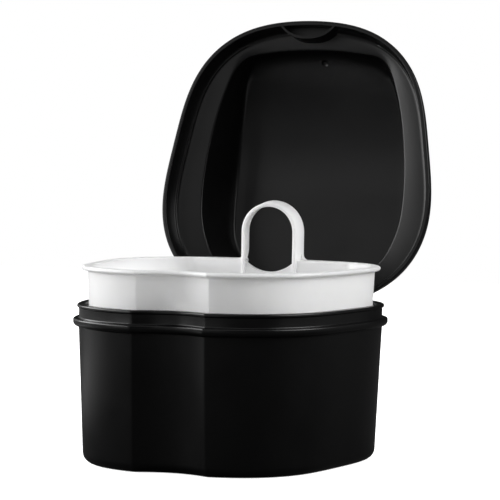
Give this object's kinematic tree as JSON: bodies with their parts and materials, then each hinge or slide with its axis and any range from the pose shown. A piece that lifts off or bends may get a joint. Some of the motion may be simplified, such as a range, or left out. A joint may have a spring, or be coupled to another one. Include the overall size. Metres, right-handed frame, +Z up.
{
  "type": "denture case",
  "caption": "Hinged case for dentures, lid open, with a lift-out drain basket that has a finger loop.",
  "frame": {"origin": "middle of the case's flat underside", "axes": "+Z up, -Y towards the front with the finger notch, +Y towards the hinge, X across the case"},
  "size_m": [0.094, 0.1348, 0.1391],
  "materials": {
    "case_plastic": "satin",
    "lid_plastic": "satin",
    "basket_plastic": "satin",
    "pin_steel": "brushed"
  },
  "bodies": {
    "case": {"case_body": "case_plastic", "hinge_pin": "pin_steel"},
    "lid": {"lid": "lid_plastic"},
    "basket": {"basket": "basket_plastic"}
  },
  "joints": [
    {"name": "lid_hinge", "type": "hinge", "parent": "case", "child": "lid", "pos_m": [0, 0.0486, 0.0432], "axis": [-1, 0, 0], "range_deg": [-101.5, 0]},
    {"name": "basket_lift", "type": "slide", "parent": "case", "child": "basket", "axis": [0, 0, 1], "range_m": [-0.01, 0]}
  ],
  "couplings": [
    {"joint": "basket_lift", "follows": "lid_hinge", "m_per_rad": 0.00564}
  ]
}
